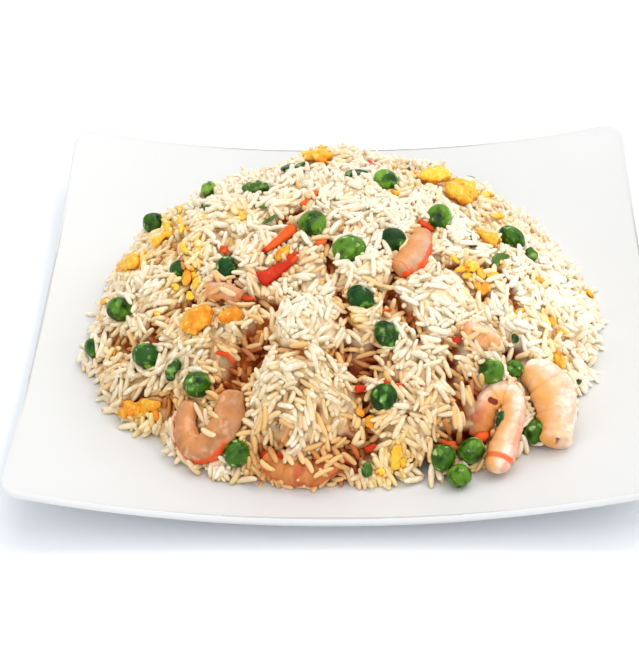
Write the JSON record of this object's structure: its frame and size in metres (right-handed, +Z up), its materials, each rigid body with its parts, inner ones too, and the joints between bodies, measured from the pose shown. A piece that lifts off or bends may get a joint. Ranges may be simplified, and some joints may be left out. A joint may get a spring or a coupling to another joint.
{
  "type": "fried rice plate",
  "caption": "Square white plate with upswept corners, holding a domed heap of fried rice with peas, shrimps, egg, carrot and scallion lying in its surface.",
  "frame": {"origin": "on the table, under the middle of the plate", "axes": "+Z up out of the plate, X and Y along the plate's sides, -Y towards the eater"},
  "size_m": [0.242, 0.242, 0.069],
  "materials": {
    "plate": "smooth white glaze, glossy",
    "rice": "cooked rice, cream to light brown, faintly oily",
    "pea": "cooked pea skin, moist sheen",
    "bean": "cooked bean and scallion, moist sheen",
    "shrimp": "cooked shrimp, pink and orange, moist",
    "egg": "scrambled egg, soft yellow with orange edges",
    "carrot": "cooked red strip, moist"
  },
  "bodies": {
    "root": {"plate": "plate", "rice": "rice", "pea_1": "pea", "pea_2": "pea", "pea_3": "pea", "pea_4": "pea", "pea_5": "pea", "pea_6": "pea", "pea_7": "pea", "pea_8": "pea", "pea_9": "pea", "pea_10": "pea", "pea_11": "pea", "pea_12": "pea", "pea_13": "pea", "pea_14": "pea", "pea_15": "pea", "pea_16": "pea", "pea_17": "pea", "pea_18": "pea", "pea_19": "pea", "pea_20": "pea", "pea_21": "pea", "pea_22": "pea", "pea_23": "pea", "pea_24": "pea", "pea_25": "pea", "pea_26": "pea", "pea_27": "pea", "bean_1": "bean", "bean_2": "bean", "bean_3": "bean", "bean_4": "bean", "bean_5": "bean", "shrimp_1": "shrimp", "shrimp_2": "shrimp", "shrimp_3": "shrimp", "shrimp_4": "shrimp", "shrimp_5": "shrimp", "shrimp_6": "shrimp", "shrimp_7": "shrimp", "shrimp_8": "shrimp", "egg_1": "egg", "egg_2": "egg", "egg_3": "egg", "egg_4": "egg", "egg_5": "egg", "egg_6": "egg", "egg_7": "egg", "egg_8": "egg", "egg_9": "egg", "egg_10": "egg", "carrot_1": "carrot", "carrot_2": "carrot", "tail_1": "carrot"}
  },
  "joints": []
}
